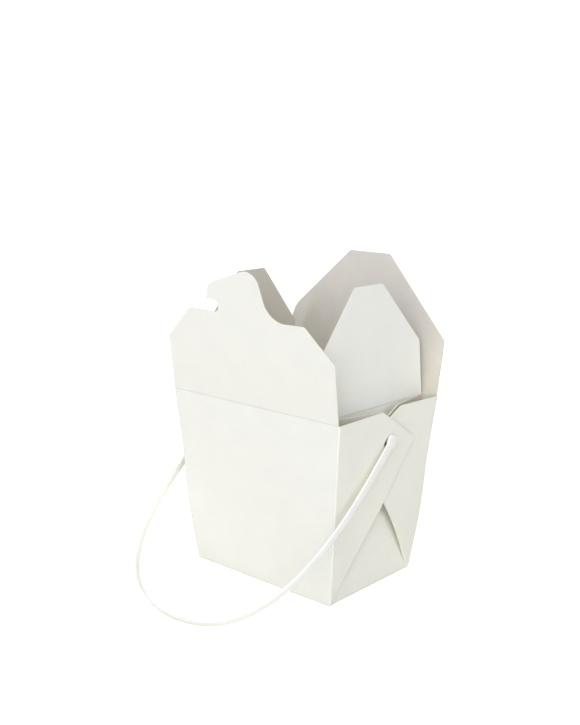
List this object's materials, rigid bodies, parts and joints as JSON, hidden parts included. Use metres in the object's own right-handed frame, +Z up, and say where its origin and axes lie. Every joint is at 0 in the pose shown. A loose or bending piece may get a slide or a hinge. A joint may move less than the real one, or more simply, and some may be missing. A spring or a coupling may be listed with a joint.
{
  "type": "noodle takeaway box",
  "caption": "Open tapered paperboard food pail: upright lid flaps, a hooked tongue on the front one, folded gussets at both ends and a plastic strap handle lying forward.",
  "frame": {"origin": "centre of the base, on its underside", "axes": "+Z up; the wide panel with the tongue flap faces -Y, the folded gusset ends face +X and -X"},
  "size_m": [0.1232, 0.1578, 0.1723],
  "materials": {
    "board": "smooth coated white, matt to satin",
    "strap": "satin white"
  },
  "bodies": {
    "pail": {"pail": "board"},
    "front_flap": {"front_flap": "board"},
    "back_flap": {"back_flap": "board"},
    "right_flap": {"right_flap": "board"},
    "left_flap": {"left_flap": "board"},
    "handle": {"handle": "strap"}
  },
  "joints": [
    {"name": "front_flap_crease", "type": "hinge", "parent": "pail", "child": "front_flap", "pos_m": [0, -0.04245, 0.1], "axis": [-1, 0, 0], "range_deg": [-93, 6.9]},
    {"name": "back_flap_crease", "type": "hinge", "parent": "pail", "child": "back_flap", "pos_m": [0, 0.04245, 0.1], "axis": [1, 0, 0], "range_deg": [-89, 10.8]},
    {"name": "right_flap_crease", "type": "hinge", "parent": "pail", "child": "right_flap", "pos_m": [0.0475, 0, 0.0996], "axis": [-0.03, -0.9996, 0], "range_deg": [-10.9, 87.6]},
    {"name": "left_flap_crease", "type": "hinge", "parent": "pail", "child": "left_flap", "pos_m": [-0.0435, 0, 0.0996], "axis": [-0.03, 0.9996, 0], "range_deg": [-8.6, 87.4]},
    {"name": "handle_swing", "type": "hinge", "parent": "pail", "child": "handle", "pos_m": [0, 0.0003, 0.083], "axis": [-1, 0, 0], "range_deg": [0, 257.5]}
  ]
}
